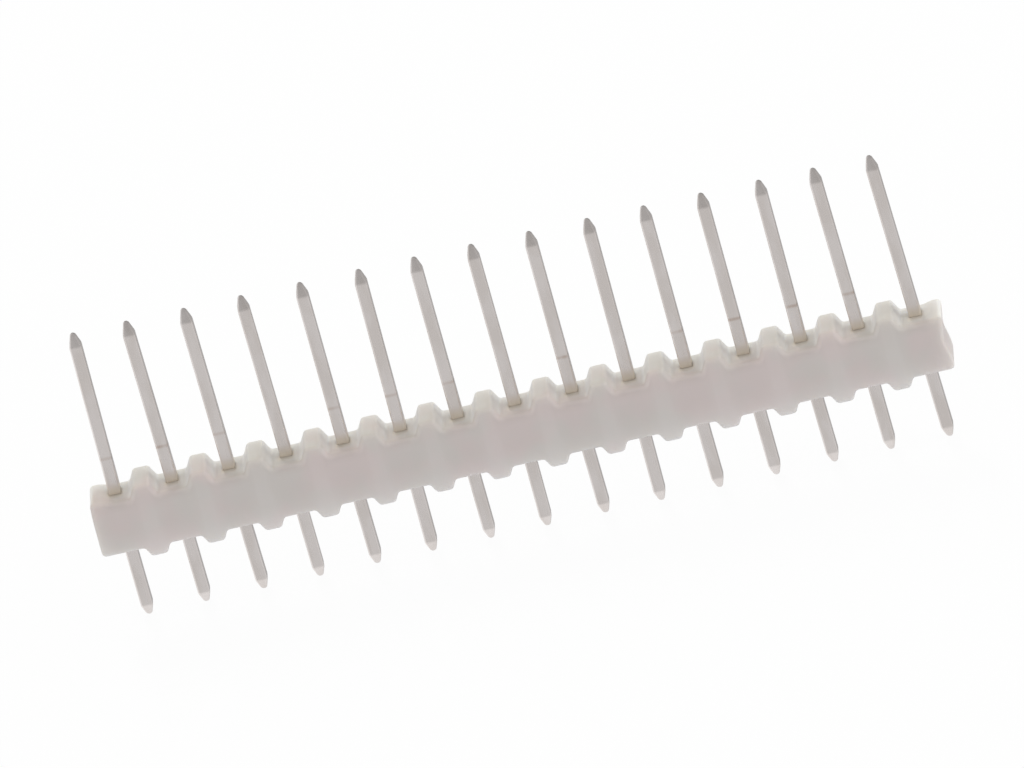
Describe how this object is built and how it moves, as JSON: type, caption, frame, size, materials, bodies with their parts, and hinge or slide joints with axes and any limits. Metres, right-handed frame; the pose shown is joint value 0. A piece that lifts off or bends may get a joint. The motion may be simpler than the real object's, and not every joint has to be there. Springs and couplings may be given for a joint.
{
  "type": "pin header strip",
  "caption": "Straight single-row pin header: a ribbed natural nylon bar with long square tin-plated pins above and short solder tails below.",
  "frame": {"origin": "on the pin row at the middle of the strip, in the plane of the feet, which is the board's surface", "axes": "+X along the row, +Y from the front face to the back face, +Z along the mating pins, away from the board"},
  "size_m": [0.0378, 0.0018, 0.0143],
  "materials": {
    "natural_nylon": "moulded natural nylon, slightly translucent cream, satin",
    "tin_plate": "bright tin over a copper alloy, drawn along the wire, light satin"
  },
  "bodies": {
    "root": {"housing": "natural_nylon", "pin_01": "tin_plate", "pin_02": "tin_plate", "pin_03": "tin_plate", "pin_04": "tin_plate", "pin_05": "tin_plate", "pin_06": "tin_plate", "pin_07": "tin_plate", "pin_08": "tin_plate", "pin_09": "tin_plate", "pin_10": "tin_plate", "pin_11": "tin_plate", "pin_12": "tin_plate", "pin_13": "tin_plate", "pin_14": "tin_plate", "pin_15": "tin_plate"}
  },
  "joints": []
}
